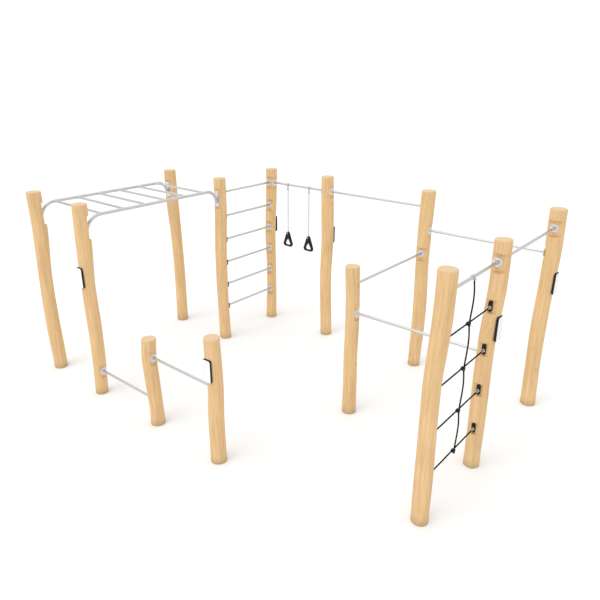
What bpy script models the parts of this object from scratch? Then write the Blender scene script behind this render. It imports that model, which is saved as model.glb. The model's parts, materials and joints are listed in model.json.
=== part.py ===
"""Monkey bars and workout combination: peeled timber posts on a square grid, joined by steel bars.

Metres, +Z up, standing on Z = 0. The origin is the middle of the post grid, on the ground. The overhead
ladder runs along Y at the -X end, and the climbing net hangs at the +X end.
"""

import math

import bmesh
import bpy
from mathutils import Matrix, Vector

# Post grid, measured between post centres
SHORT_BAY = 1.20
LONG_BAY = 1.75
LADDER_SPAN = 2.40

# Post heights
TALL = 2.72
MIDDLE = 2.06
HALF = 1.60
LOW = 1.22

# Bar heights, to the bar's centre
HIGH_BAR = 2.49
NET_BAR = 2.48
WIDE_BAR = 2.16
PRESS_BAR = 1.81
ROW_BAR = 1.45
STEP_HIGH = 0.97
STEP_LOW = 0.36

# Trunks: each swings along SWAY_HEADING as its list says, and leans across it
SWAY_HEADING = math.radians(40)
TRUNK_RINGS = 11
TRUNK_SIDES = 14
TRUNK_END = 0.03
TOP_ROUNDING = 0.012

# Flats milled into the trunks
FLAT_DEPTH = 0.020
NEAR_FLAT = 0.050
FAR_FLAT = 0.013
RAIL_FLATS = (0.065, 0.035)
SIGN_FLAT = 0.010
ANCHOR_FLAT = 0.025
FLAT_HEIGHT = 0.185
FLAT_MARGIN = 0.01
RAIL_FLAT_MARGIN = 0.03
CUTTER_REACH = 0.16
GAP = 0.0003

# Bars
BAR_RADIUS = 0.017
PLATE_SIDE = 0.095
PLATE_THICKNESS = 0.008
PLATE_CORNER = 0.018
SOCKET_RADIUS = 0.026
SOCKET_LENGTH = 0.014
TUBE_SIDES = 12

# Overhead ladder
RAIL_RADIUS = 0.0225
RAIL_HEIGHT = 2.535
RAIL_BENDS = (0.235, 0.190)
RAIL_TAIL = 0.01
BEND_STEPS = 6
WELD_DEPTH = 0.001
RAIL_PLATE = (0.09, 0.245)
RAIL_PLATE_HEIGHT = 2.405
OVERHEAD_RUNGS = 6
RUNG_INSET = 0.312

# Wall ladder
WALL_RUNGS = 6
WALL_STEP = 0.385

# Instruction signs
SIGN_SIZE = (0.125, 0.275)
SIGN_THICKNESS = 0.028
SIGN_CORNER = 0.022

# Trapeze handles
HANDLE_PLACES = (0.385, 0.835)
CLAMP_RADIUS = 0.028
CLAMP_WIDTH = 0.036
PIVOT_DROP = 0.062
PIN_RADIUS = 0.005
PIN_OVERHANG = 0.003
LUG_THICKNESS = 0.010
LUG_RADIUS = 0.013
LUG_TAIL = 0.004
CHEEK_THICKNESS = 0.005
CHEEK_RADIUS = 0.010
BRIDGE_DROP = 0.017
SWAY_DROP = 0.108
CHAIN_RADIUS = 0.011
CHAIN_LENGTH = 0.735
HANDLE_THICKNESS = 0.034
HANDLE_TOP = 0.034
HANDLE_BOLT = 0.0045
BOLT_CLEARANCE = 0.0005
SHACKLE_RISE = 0.044
SHACKLE_LEG = 0.007
SHACKLE_WIDTH = 0.014

# Climbing net
ROPE_RADIUS = 0.008
ROPE_HEIGHTS = (2.00, 1.51, 1.02, 0.525)
ROPE_BULGE = 0.033
ROPE_STRAIGHT = 0.02
ROPE_STEPS = 8
ROPE_HANG = 0.012
ROPE_TAIL = 0.028
UPRIGHT_OFFSET = 0.0175
ANCHOR_SIZE = (0.046, 0.125)
ANCHOR_CORNER = 0.0225
ANCHOR_THICKNESS = 0.016
ANCHOR_RISE = 0.012
FERRULE_RADIUS = 0.0115
FERRULE_LENGTH = 0.05
NET_CLAMP_SIZE = (0.044, 0.0352, 0.0352)
NET_CLAMP_CLEARANCE = 0.0015
TOP_CLAMP_RADIUS = 0.026
TOP_CLAMP_WIDTH = 0.03
TOP_CLAMP_STUB = (0.05, 0.022, 0.012)
TOP_CLAMP_STUB_DROP = 0.0215
THROUGH = 0.1

# Post name: grid X, grid Y and height
PLAN = {
    "post_ladder_start_outer": (-SHORT_BAY, -LADDER_SPAN, TALL),
    "post_ladder_start_inner": (0, -LADDER_SPAN, TALL),
    "post_ladder_end_outer": (-SHORT_BAY, 0, TALL),
    "post_ladder_end_inner": (0, 0, TALL),
    "post_wall_ladder": (0, SHORT_BAY, TALL),
    "post_trapeze": (SHORT_BAY, SHORT_BAY, TALL),
    "post_pull_up": (SHORT_BAY + LONG_BAY, SHORT_BAY, TALL),
    "post_corner": (SHORT_BAY + 2 * LONG_BAY, SHORT_BAY, TALL),
    "post_net_inner": (SHORT_BAY + 2 * LONG_BAY, SHORT_BAY - LONG_BAY, TALL),
    "post_net_outer": (SHORT_BAY + 2 * LONG_BAY, -LONG_BAY, TALL),
    "post_middle": (SHORT_BAY + LONG_BAY, SHORT_BAY - LONG_BAY, MIDDLE),
    "post_step_low": (SHORT_BAY, -LADDER_SPAN, LOW),
    "post_step_high": (2 * SHORT_BAY, -LADDER_SPAN, HALF),
}
# Post name: how far it leans at its top, then its sways and its radii at even steps
# from the ground to the top, all in mm
TRUNKS = {
    "post_ladder_start_outer": (-12, (21, 5, -4, 7, 36, 24), (97, 99, 93, 94, 103, 97)),
    "post_ladder_start_inner": (-12, (-25, -5, -5, -17, -1, 8), (87, 90, 94, 91, 101, 96)),
    "post_ladder_end_outer": (0, (35, 40, 39, 28, 6, -1), (96, 94, 93, 93, 103, 95)),
    "post_ladder_end_inner": (9, (-4, -19, -24, -16, 4, 5), (96, 91, 92, 93, 96, 94)),
    "post_wall_ladder": (0, (-24, -12, -12, -21, 0, 10), (95, 87, 86, 92, 92, 96)),
    "post_trapeze": (9, (34, 19, 9, 26, 18, 7), (95, 95, 96, 98, 103, 97)),
    "post_pull_up": (0, (8, 25, 28, 10, 10, 21), (90, 97, 97, 95, 97, 100)),
    "post_corner": (25, (29, 16, 8, 23, 36, 25), (99, 94, 97, 94, 102, 101)),
    "post_net_inner": (4, (0, -3, -9, -6, 28, 29), (91, 93, 93, 92, 93, 91)),
    "post_net_outer": (0, (-14, -17, -22, -22, 9, 17), (90, 93, 88, 86, 91, 91)),
    "post_middle": (4, (7, 6, 0, 6, 1, -16), (94, 90, 88, 88, 88, 91)),
    "post_step_low": (-12, (29, 27, 13, 3, -5, 11), (95, 88, 92, 92, 92, 91)),
    "post_step_high": (0, (-2, -6, -7, 2, -6, -13), (96, 93, 93, 90, 94, 91)),
}
POSTS = {name: (*PLAN[name], *TRUNKS[name]) for name in PLAN}

# Bar name: the posts that it joins, and its height
BARS = {
    "bar_trapeze": ("post_wall_ladder", "post_trapeze", HIGH_BAR),
    "bar_pull_up": ("post_trapeze", "post_pull_up", HIGH_BAR),
    "bar_wide": ("post_pull_up", "post_corner", WIDE_BAR),
    "bar_corner": ("post_net_inner", "post_corner", NET_BAR),
    "bar_net": ("post_net_outer", "post_net_inner", NET_BAR),
    "bar_press": ("post_middle", "post_pull_up", PRESS_BAR),
    "bar_row": ("post_middle", "post_net_inner", ROW_BAR),
    "bar_step_high": ("post_step_low", "post_step_high", STEP_HIGH),
    "bar_step_low": ("post_ladder_start_inner", "post_step_low", STEP_LOW),
}
for rung in range(WALL_RUNGS):
    BARS[f"wall_rung_{rung + 1}"] = ("post_ladder_end_inner", "post_wall_ladder", HIGH_BAR - rung * WALL_STEP)

# Rail name: the posts that it joins
RAILS = {
    "overhead_rail_outer": ("post_ladder_start_outer", "post_ladder_end_outer"),
    "overhead_rail_inner": ("post_ladder_start_inner", "post_ladder_end_inner"),
}

RIGHT = Vector((1, 0, 0))
NEAR, FAR = Vector((0, -1, 0)), Vector((0, 1, 0))
UP = Vector((0, 0, 1))

# Sign name: its post, the side that it faces, and its height
SIGNS = {
    "sign_ladder": ("post_ladder_start_inner", NEAR, 1.755),
    "sign_step": ("post_step_high", NEAR, 1.225),
    "sign_wall_ladder": ("post_wall_ladder", FAR, 1.75),
    "sign_trapeze": ("post_trapeze", FAR, 1.76),
    "sign_net": ("post_net_inner", RIGHT, 1.765),
    "sign_corner": ("post_corner", RIGHT, 1.775),
}

# The handle's outline and its grip opening: each corner's X, height above the bolt and radius,
# and the angles where its arc starts and ends
HANDLE_OUTLINE = (
    (0, 0, HANDLE_TOP, 165, 15),
    (0.052, -0.180, 0.046, 15, -80),
    (-0.052, -0.180, 0.046, -100, -195),
)
HANDLE_OPENING = (
    (0, -0.108, 0.018, 155, 25),
    (0.031, -0.173, 0.023, 20, -85),
    (-0.031, -0.173, 0.023, -95, -200),
)
HANDLE_ARC_STEPS = 5

# Material: linear colour, metallic, roughness
FINISHES = {
    "robinia": ((0.80, 0.50, 0.22), 0.0, 0.75),
    "steel": ((0.60, 0.60, 0.59), 1.0, 0.35),
    "dark_plastic": ((0.02, 0.02, 0.02), 0.0, 0.5),
    "white_board": ((0.80, 0.80, 0.80), 0.0, 0.4),
    "rope": ((0.015, 0.015, 0.015), 0.0, 0.85),
}


def clear_scene():
    for obj in list(bpy.data.objects):
        bpy.data.objects.remove(obj, do_unlink=True)


def new_collection(name):
    collection = bpy.data.collections.new(name)
    bpy.context.scene.collection.children.link(collection)
    return collection


def new_material(name):
    colour, metallic, roughness = FINISHES[name]
    material = bpy.data.materials.new(name)
    material.use_nodes = True
    shader = material.node_tree.nodes["Principled BSDF"]
    shader.inputs["Base Color"].default_value = (*colour, 1)
    shader.inputs["Metallic"].default_value = metallic
    shader.inputs["Roughness"].default_value = roughness
    material.diffuse_color = (*colour, 1)
    return material


def mesh_from(fill):
    """A mesh from a function that fills a bmesh."""
    work = bmesh.new()
    fill(work)
    bmesh.ops.recalc_face_normals(work, faces=work.faces)
    mesh = bpy.data.meshes.new("shape")
    work.to_mesh(mesh)
    work.free()
    return mesh


def box(size, place=Matrix()):
    scaled = place @ Matrix.Diagonal((*size, 1))
    return mesh_from(lambda work: bmesh.ops.create_cube(work, size=1, matrix=scaled))


def cylinder(radius, length, place=Matrix(), sides=TUBE_SIDES):
    return mesh_from(
        lambda work: bmesh.ops.create_cone(
            work, cap_ends=True, segments=sides, radius1=radius, radius2=radius, depth=length, matrix=place
        )
    )


def mesh_of_curve(curve):
    """The curve's solid as a mesh, with its caps welded on."""
    holder = bpy.data.objects.new("curve", curve)
    bpy.context.scene.collection.objects.link(holder)
    graph = bpy.context.evaluated_depsgraph_get()
    mesh = bpy.data.meshes.new_from_object(holder.evaluated_get(graph))
    bpy.data.objects.remove(holder, do_unlink=True)
    bpy.data.curves.remove(curve)
    work = bmesh.new()
    work.from_mesh(mesh)
    bmesh.ops.remove_doubles(work, verts=work.verts, dist=0.00001)
    bmesh.ops.recalc_face_normals(work, faces=work.faces)
    work.to_mesh(mesh)
    work.free()
    return mesh


def tube(points, radius, sides=TUBE_SIDES, scales=None, closed=False):
    """A round tube through the points, thicker or thinner where scales says."""
    curve = bpy.data.curves.new("tube", "CURVE")
    curve.dimensions = "3D"
    curve.bevel_depth = radius
    curve.bevel_resolution = sides // 2 - 2
    curve.use_fill_caps = not closed
    spline = curve.splines.new("POLY")
    spline.points.add(len(points) - 1)
    spline.use_cyclic_u = closed
    for i, point in enumerate(points):
        spline.points[i].co = (*point, 1)
        spline.points[i].radius = scales[i] if scales else 1
    return mesh_of_curve(curve)


def arc(x, y, radius, start, end, steps):
    """Points round a circle, from a start angle to an end angle in degrees."""
    angles = [math.radians(start + (end - start) * step / steps) for step in range(steps + 1)]
    return [(x + radius * math.cos(angle), y + radius * math.sin(angle)) for angle in angles]


def extruded(outline, thickness):
    """A flat outline in X and Y, extruded half its thickness each way."""
    curve = bpy.data.curves.new("outline", "CURVE")
    curve.dimensions = "2D"
    curve.fill_mode = "BOTH"
    curve.extrude = thickness / 2
    spline = curve.splines.new("POLY")
    spline.use_cyclic_u = True
    spline.points.add(len(outline) - 1)
    for point, (x, y) in zip(spline.points, outline):
        point.co = (x, y, 0, 1)
    return mesh_of_curve(curve)


def slab(width, height, thickness, corner, steps=3):
    """A plate with rounded corners, flat in X and Y, with its middle at the origin."""
    x, y = width / 2 - corner, height / 2 - corner
    corners = ((x, y), (-x, y), (-x, -y), (x, -y))
    outline = []
    for quarter, (middle_x, middle_y) in enumerate(corners):
        outline += arc(middle_x, middle_y, corner, 90 * quarter, 90 * quarter + 90, steps)
    return extruded(outline, thickness)


def moved(mesh, place):
    mesh.transform(place)
    return mesh


def facing(direction, position=(0, 0, 0)):
    """Local Z along a level direction and local Y upright, at a position."""
    side = UP.cross(direction)
    turn = Matrix((side, UP, direction)).transposed().to_4x4()
    return Matrix.Translation(position) @ turn


def make(name, material, joined, cuts=(), place=Matrix(), parent=None):
    """One part: the first mesh, joined to the others, with the cuts taken out."""
    part = bpy.data.objects.new(name, joined[0])
    parts_collection.objects.link(part)
    part.parent = parent or grid_origin
    part.matrix_local = place
    joined[0].name = name
    joined[0].materials.clear()
    joined[0].materials.append(materials[material])
    tools = [("UNION", mesh) for mesh in joined[1:]] + [("DIFFERENCE", mesh) for mesh in cuts]
    for number, (operation, mesh) in enumerate(tools):
        helper = bpy.data.objects.new(f"{name}_tool_{number + 1}", mesh)
        tools_collection.objects.link(helper)
        helper.parent = part
        helper.hide_render = True
        helper.display_type = "WIRE"
        modifier = part.modifiers.new(f"{operation.title()} {number + 1}", "BOOLEAN")
        modifier.operation = operation
        modifier.solver = "EXACT"
        modifier.object = helper
    joined[0].shade_smooth()
    joined[0].set_sharp_from_angle(angle=math.radians(35))
    return part


def along(values, fraction):
    """A smooth curve through evenly spaced values, at a fraction of the way."""
    last = len(values) - 1
    place = min(max(fraction, 0), 1) * last
    index = min(int(place), last - 1)
    t = place - index
    before, start, end, after = (values[min(max(index + step, 0), last)] for step in (-1, 0, 1, 2))
    slope = end - before
    bow = 2 * before - 5 * start + 4 * end - after
    twist = 3 * (start - end) + after - before
    return start + 0.5 * t * (slope + t * (bow + t * twist))


def trunk(name, height):
    """The trunk's centre and radius at a height."""
    x, y, top, lean, sways, radii = POSTS[name]
    fraction = height / top
    sway, cross = along(sways, fraction) / 1000, lean * fraction / 1000
    centre = Vector((x, y, height))
    centre += sway * Vector((math.cos(SWAY_HEADING), math.sin(SWAY_HEADING), 0))
    centre += cross * Vector((-math.sin(SWAY_HEADING), math.cos(SWAY_HEADING), 0))
    return centre, along(radii, fraction) / 1000


def flat(name, side, height, depth):
    """The middle of a flat that is milled into a post's side, on the grid line."""
    centre, radius = trunk(name, height)
    grid = Vector((*POSTS[name][:2], height))
    return grid + side * ((centre - grid).dot(side) + radius - depth)


def bar_flat(name, side, height):
    """The flat under a bar's plate. Those that face -Y are the deepest, and +Y the shallowest."""
    depth = FLAT_DEPTH
    if abs(side.y) > abs(side.x):
        depth = NEAR_FLAT if side.y < 0 else FAR_FLAT
    return flat(name, side, height, depth)


def sign_flat(name, side, height):
    """The middle of the shallow flat behind a sign, on the trunk's own line."""
    centre, radius = trunk(name, height)
    return centre + side * (radius - SIGN_FLAT)


def cutter(middle, side, tall):
    """The box that mills a flat."""
    return box((2 * CUTTER_REACH, tall, CUTTER_REACH), facing(side, middle + side * CUTTER_REACH / 2))


def post_flats():
    """Post name: the cutters of its flats."""
    cutters = {name: [] for name in POSTS}
    for first, second, height in BARS.values():
        heading = bar_heading(first, second)
        for name, side in ((first, heading), (second, -heading)):
            cutters[name].append(cutter(bar_flat(name, side, height), side, FLAT_HEIGHT))
    for posts in RAILS.values():
        for name, side, depth in zip(posts, (FAR, NEAR), RAIL_FLATS):
            middle = flat(name, side, RAIL_PLATE_HEIGHT, depth)
            cutters[name].append(cutter(middle, side, RAIL_PLATE[1] + 2 * RAIL_FLAT_MARGIN))
    for name, side, height in SIGNS.values():
        cutters[name].append(cutter(sign_flat(name, side, height), side, SIGN_SIZE[1] + FLAT_MARGIN))
    for height in ROPE_HEIGHTS:
        for name, side in (("post_net_outer", FAR), ("post_net_inner", NEAR)):
            middle = flat(name, side, height + ANCHOR_RISE, ANCHOR_FLAT)
            cutters[name].append(cutter(middle, side, ANCHOR_SIZE[1] + 2 * FLAT_MARGIN))
    return cutters


def make_posts():
    cutters = post_flats()
    for name, (_, _, top, _, _, _) in POSTS.items():
        fractions = [step / (TRUNK_RINGS - 1) for step in range(1, TRUNK_RINGS - 1)]
        heights = [0, TRUNK_END] + [top * fraction for fraction in fractions]
        heights += [top - TRUNK_END, top - TOP_ROUNDING, top]
        points, scales = [], []
        for height in heights:
            # Both ends run straight up, so that their caps are level.
            centre, radius = trunk(name, min(max(height, TRUNK_END), top - TRUNK_END))
            points.append((centre.x, centre.y, height))
            scales.append(radius)
        scales[-1] -= TOP_ROUNDING
        make(name, "robinia", [tube(points, 1, TRUNK_SIDES, scales)], cutters[name])


def bar_heading(first, second):
    return (Vector(POSTS[second][:2]) - Vector(POSTS[first][:2])).normalized().to_3d()


def make_bars():
    for name, (first, second, height) in BARS.items():
        heading = bar_heading(first, second)
        start = bar_flat(first, heading, height) + heading * GAP
        end = bar_flat(second, -heading, height) - heading * GAP
        length = (end - start).length
        shapes = [cylinder(BAR_RADIUS, length - PLATE_THICKNESS)]
        for way in (-1, 1):
            plate_middle = way * (length - PLATE_THICKNESS) / 2
            socket_middle = way * ((length - SOCKET_LENGTH) / 2 - PLATE_THICKNESS / 2)
            plate = slab(PLATE_SIDE, PLATE_SIDE, PLATE_THICKNESS, PLATE_CORNER)
            shapes.append(moved(plate, Matrix.Translation((0, 0, plate_middle))))
            shapes.append(cylinder(SOCKET_RADIUS, SOCKET_LENGTH, Matrix.Translation((0, 0, socket_middle))))
        make(name, "steel", shapes, place=facing(heading, (start + end) / 2))


def rail_end(x, y, way, bend):
    """The end of a rail's centre line, from its tail up to the level. Way is 1 where it leads to +Y."""
    low = RAIL_HEIGHT - bend
    points = [(x, y, low - RAIL_TAIL)]
    for step in range(BEND_STEPS + 1):
        angle = math.pi / 2 * step / BEND_STEPS
        points.append((x, y + way * bend * (1 - math.cos(angle)), low + bend * math.sin(angle)))
    return points


def make_overhead_ladder():
    for name, (start, end) in RAILS.items():
        x = POSTS[start][0]
        first = flat(start, FAR, RAIL_PLATE_HEIGHT, RAIL_FLATS[0]).y + GAP
        last = flat(end, NEAR, RAIL_PLATE_HEIGHT, RAIL_FLATS[1]).y - GAP
        stand_off = PLATE_THICKNESS + RAIL_RADIUS - WELD_DEPTH
        route = rail_end(x, first + stand_off, 1, RAIL_BENDS[0])
        route += reversed(rail_end(x, last - stand_off, -1, RAIL_BENDS[1]))
        shapes = [tube(route, RAIL_RADIUS)]
        for y, side in ((first + PLATE_THICKNESS / 2, FAR), (last - PLATE_THICKNESS / 2, NEAR)):
            plate = slab(*RAIL_PLATE, PLATE_THICKNESS, PLATE_CORNER)
            shapes.append(moved(plate, facing(side, (x, y, RAIL_PLATE_HEIGHT))))
        make(name, "steel", shapes)
    length = SHORT_BAY - 2 * (RAIL_RADIUS + GAP)
    pitch = (LADDER_SPAN - 2 * RUNG_INSET) / (OVERHEAD_RUNGS - 1)
    for rung in range(OVERHEAD_RUNGS):
        y = rung * pitch + RUNG_INSET - LADDER_SPAN
        place = facing(RIGHT, (-SHORT_BAY / 2, y, RAIL_HEIGHT))
        make(f"overhead_rung_{rung + 1}", "steel", [cylinder(BAR_RADIUS, length)], place=place)


def make_signs():
    for name, (post, side, height) in SIGNS.items():
        middle = sign_flat(post, side, height) + side * (GAP + SIGN_THICKNESS / 2)
        make(name, "white_board", [slab(*SIGN_SIZE, SIGN_THICKNESS, SIGN_CORNER)], place=facing(side, middle))


def handle_shape(corners, thickness):
    outline = []
    for x, z, radius, start, end in corners:
        outline += arc(x, z, radius, start, end, HANDLE_ARC_STEPS)
    return moved(extruded(outline, thickness), facing(NEAR))


def capsule(radius, length):
    """A rod with round ends, hanging down from the middle of its upper end."""
    def fill(work):
        bmesh.ops.create_uvsphere(work, u_segments=TUBE_SIDES, v_segments=7, radius=radius)
        for vertex in work.verts:
            vertex.co.z -= length if vertex.co.z < 0 else 0
    return mesh_from(fill)


def make_clamp(number, middle):
    """The clamp that grips the bar. Its lug hangs below the bar and holds the yoke's pin."""
    lengthwise = facing(RIGHT)
    pin_place = Matrix.Translation((0, 0, -PIVOT_DROP)) @ lengthwise
    lug_length = PIVOT_DROP + LUG_TAIL
    lug = box((LUG_THICKNESS, 2 * LUG_RADIUS, lug_length), Matrix.Translation((0, 0, -lug_length / 2)))
    return make(
        f"hanger_clamp_{number}",
        "steel",
        [
            cylinder(CLAMP_RADIUS, CLAMP_WIDTH, lengthwise, 16),
            lug,
            cylinder(LUG_RADIUS, LUG_THICKNESS, pin_place, 16),
        ],
        [
            cylinder(BAR_RADIUS + GAP, 2 * CLAMP_WIDTH, lengthwise),
            cylinder(PIN_RADIUS + GAP, 2 * LUG_THICKNESS, pin_place),
        ],
        Matrix.Translation(middle),
    )


def make_yoke(number, clamp):
    """The yoke: two cheeks on a pin, and a bridge between them that carries the chain."""
    lengthwise = facing(RIGHT)
    cheek_x = LUG_THICKNESS / 2 + 2 * GAP + CHEEK_THICKNESS / 2
    cheek_length = SWAY_DROP - PIVOT_DROP - CHAIN_RADIUS - GAP
    cheeks = []
    for way in (-1, 1):
        middle = Matrix.Translation((way * cheek_x, 0, -cheek_length / 2))
        cheeks.append(box((CHEEK_THICKNESS, 2 * CHEEK_RADIUS, cheek_length), middle))
        eye_place = Matrix.Translation((way * cheek_x, 0, 0)) @ lengthwise
        cheeks.append(cylinder(CHEEK_RADIUS, CHEEK_THICKNESS, eye_place, 16))
    bridge_height = cheek_length - BRIDGE_DROP
    bridge_middle = Matrix.Translation((0, 0, -BRIDGE_DROP - bridge_height / 2))
    bridge = box((2 * cheek_x, 2 * CHEEK_RADIUS, bridge_height), bridge_middle)
    pin = cylinder(PIN_RADIUS, 2 * (cheek_x + PIN_OVERHANG) + CHEEK_THICKNESS, lengthwise)
    place = Matrix.Translation((0, 0, -PIVOT_DROP))
    return make(f"hanger_yoke_{number}", "steel", [bridge, *cheeks, pin], place=place, parent=clamp)


def make_chain(number, yoke):
    """The chain as one rod. It ends in a shackle, whose bolt goes through the handle."""
    bolt_place = Matrix.Translation((0, 0, -CHAIN_LENGTH))
    span = HANDLE_THICKNESS + 4 * BOLT_CLEARANCE + 2 * SHACKLE_LEG
    bow = box((SHACKLE_WIDTH, span, SHACKLE_LEG), Matrix.Translation((0, 0, SHACKLE_RISE - CHAIN_LENGTH)))
    shackle = [bow, cylinder(HANDLE_BOLT, span + 2 * PIN_OVERHANG, bolt_place @ facing(FAR))]
    for way in (-1, 1):
        leg_y = way * (span - SHACKLE_LEG) / 2
        leg_place = Matrix.Translation((0, leg_y, SHACKLE_RISE / 2 - CHAIN_LENGTH))
        shackle.append(box((SHACKLE_WIDTH, SHACKLE_LEG, SHACKLE_RISE + SHACKLE_LEG), leg_place))
    rod = capsule(CHAIN_RADIUS, CHAIN_LENGTH - SHACKLE_RISE - CHAIN_RADIUS)
    place = Matrix.Translation((0, 0, PIVOT_DROP - SWAY_DROP))
    return make(f"chain_{number}", "steel", [rod, *shackle], place=place, parent=yoke)


def make_trapeze():
    bar_end = Vector((POSTS["post_wall_ladder"][0], SHORT_BAY, HIGH_BAR))
    for number, distance in enumerate(HANDLE_PLACES, 1):
        clamp = make_clamp(number, bar_end + RIGHT * distance)
        chain = make_chain(number, make_yoke(number, clamp))
        make(
            f"handle_{number}",
            "dark_plastic",
            [handle_shape(HANDLE_OUTLINE, HANDLE_THICKNESS)],
            [
                handle_shape(HANDLE_OPENING, 2 * HANDLE_THICKNESS),
                cylinder(HANDLE_BOLT + BOLT_CLEARANCE, 2 * HANDLE_THICKNESS, facing(FAR)),
            ],
            Matrix.Translation((0, 0, -CHAIN_LENGTH)),
            chain,
        )


def upright_route():
    """The hanging rope: from the bar down to the lowest clamp, bulging between the clamps."""
    knots = [NET_BAR - BAR_RADIUS - ROPE_HANG] + list(ROPE_HEIGHTS)
    points = [(0, 0, knots[0])]
    for upper, lower in zip(knots, knots[1:]):
        top = upper - ROPE_STRAIGHT
        drop = top - lower - ROPE_STRAIGHT
        for step in range(ROPE_STEPS + 1):
            t = step / ROPE_STEPS
            points.append((0, ROPE_BULGE * math.sin(math.pi * t**0.8) ** 1.3, top - drop * t))
    points.append((0, 0, knots[-1] - ROPE_TAIL))
    return points


def make_level_rope(number, x, height):
    """A level rope with its two end anchors and their ferrules."""
    rise = height + ANCHOR_RISE
    start = flat("post_net_outer", FAR, rise, ANCHOR_FLAT).y + GAP
    end = flat("post_net_inner", NEAR, rise, ANCHOR_FLAT).y - GAP
    length = end - start
    shapes = [cylinder(ROPE_RADIUS, length - ANCHOR_THICKNESS, sides=8)]
    for way in (-1, 1):
        anchor_middle = Matrix.Translation((0, ANCHOR_RISE, way * (length - ANCHOR_THICKNESS) / 2))
        shapes.append(moved(slab(*ANCHOR_SIZE, ANCHOR_THICKNESS, ANCHOR_CORNER), anchor_middle))
        reach = (length - ANCHOR_THICKNESS - FERRULE_LENGTH) / 2
        shapes.append(cylinder(FERRULE_RADIUS, FERRULE_LENGTH, Matrix.Translation((0, 0, way * reach))))
    make(f"net_rope_{number}", "rope", shapes, place=facing(FAR, (x, (start + end) / 2, height)))


def make_net():
    x = POSTS["post_net_inner"][0]
    y = (POSTS["post_net_inner"][1] + POSTS["post_net_outer"][1]) / 2
    upright_place = Matrix.Translation((x + UPRIGHT_OFFSET, y, 0))
    make("net_rope_upright", "rope", [tube(upright_route(), ROPE_RADIUS, 8)], place=upright_place)
    clearance = ROPE_RADIUS + NET_CLAMP_CLEARANCE
    for number, height in enumerate(ROPE_HEIGHTS, 1):
        make_level_rope(number, x, height)
        level_hole = cylinder(clearance, THROUGH, facing(FAR, (-UPRIGHT_OFFSET / 2, 0, 0)))
        upright_hole = cylinder(clearance, THROUGH, Matrix.Translation((UPRIGHT_OFFSET / 2, 0, 0)))
        clamp_place = Matrix.Translation((x + UPRIGHT_OFFSET / 2, y, height))
        holes = [level_hole, upright_hole]
        make(f"net_clamp_{number}", "dark_plastic", [box(NET_CLAMP_SIZE)], holes, clamp_place)
    ring = cylinder(TOP_CLAMP_RADIUS, TOP_CLAMP_WIDTH, facing(FAR), 16)
    stub = box(TOP_CLAMP_STUB, Matrix.Translation((UPRIGHT_OFFSET / 2, 0, -TOP_CLAMP_STUB_DROP)))
    bore = cylinder(BAR_RADIUS + GAP, THROUGH, facing(FAR))
    make("net_top_clamp", "steel", [ring, stub], [bore], Matrix.Translation((x, y, NET_BAR)))


clear_scene()
parts_collection = new_collection("monkey_bars")
tools_collection = new_collection("cutters")
tools_collection.hide_render = True
materials = {name: new_material(name) for name in FINISHES}
grid_origin = bpy.data.objects.new("grid_origin", None)
parts_collection.objects.link(grid_origin)
grid_origin.location = (-LONG_BAY, (LADDER_SPAN - SHORT_BAY) / 2, 0)
make_posts()
make_bars()
make_overhead_ladder()
make_signs()
make_trapeze()
make_net()
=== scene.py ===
"""The looks of the monkey bars and workout combination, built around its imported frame.

Metres, +Z up. Every piece takes its place from the frame's boxes, joints and trunk sections.
"""

import json
import math
from itertools import combinations

import bpy
import numpy as np
from mathutils import Matrix, Vector, noise
from mathutils.bvhtree import BVHTree


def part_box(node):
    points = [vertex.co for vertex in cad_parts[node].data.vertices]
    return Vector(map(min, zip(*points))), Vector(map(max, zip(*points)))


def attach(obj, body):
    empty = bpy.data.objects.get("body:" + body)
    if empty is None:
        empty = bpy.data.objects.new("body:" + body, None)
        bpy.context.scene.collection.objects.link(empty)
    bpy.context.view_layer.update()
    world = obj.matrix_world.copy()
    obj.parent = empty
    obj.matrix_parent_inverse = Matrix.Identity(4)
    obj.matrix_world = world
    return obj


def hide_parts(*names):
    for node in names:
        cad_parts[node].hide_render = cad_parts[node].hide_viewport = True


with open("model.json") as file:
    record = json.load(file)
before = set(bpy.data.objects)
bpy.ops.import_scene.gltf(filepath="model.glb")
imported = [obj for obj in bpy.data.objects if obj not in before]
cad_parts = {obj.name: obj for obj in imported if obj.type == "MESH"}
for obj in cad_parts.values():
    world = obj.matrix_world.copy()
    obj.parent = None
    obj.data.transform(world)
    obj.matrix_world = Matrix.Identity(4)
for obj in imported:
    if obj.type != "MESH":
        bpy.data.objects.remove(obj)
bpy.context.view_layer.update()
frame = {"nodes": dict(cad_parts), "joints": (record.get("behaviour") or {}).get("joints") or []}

# Camera: where it stands, how it is turned, and its lens
CAMERA_PLACE = (4.983, -5.580, 4.310)
CAMERA_PITCH = 21.425
CAMERA_YAW = 40.30
CAMERA_LENS = 34.865
CAMERA_SHIFT = (0.0131, -0.0069)
SENSOR_WIDTH = 36
FAR_CLIP = 200

# Light: strengths, apparent sizes and turns in degrees
SKY_STRENGTH = 1.0
SUN_COLOUR = (1.0, 0.985, 0.96)
SUN_STRENGTH = 0.9
SUN_ANGLE = 50
SUN_TURN = (38, 0, -10)
GLINT_STRENGTH = 0.4
GLINT_ANGLE = 70
GLINT_TURN = (-28, 0, 40)

# Ground: rings that grow from the first one, just under the posts
FLOOR_RINGS = 16
FLOOR_SIDES = 48
FLOOR_FIRST = 0.5
FLOOR_GROWTH = 1.35
FLOOR_CLEAR = 0.0002
FLOOR_RIM_DIP = 0.02

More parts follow.
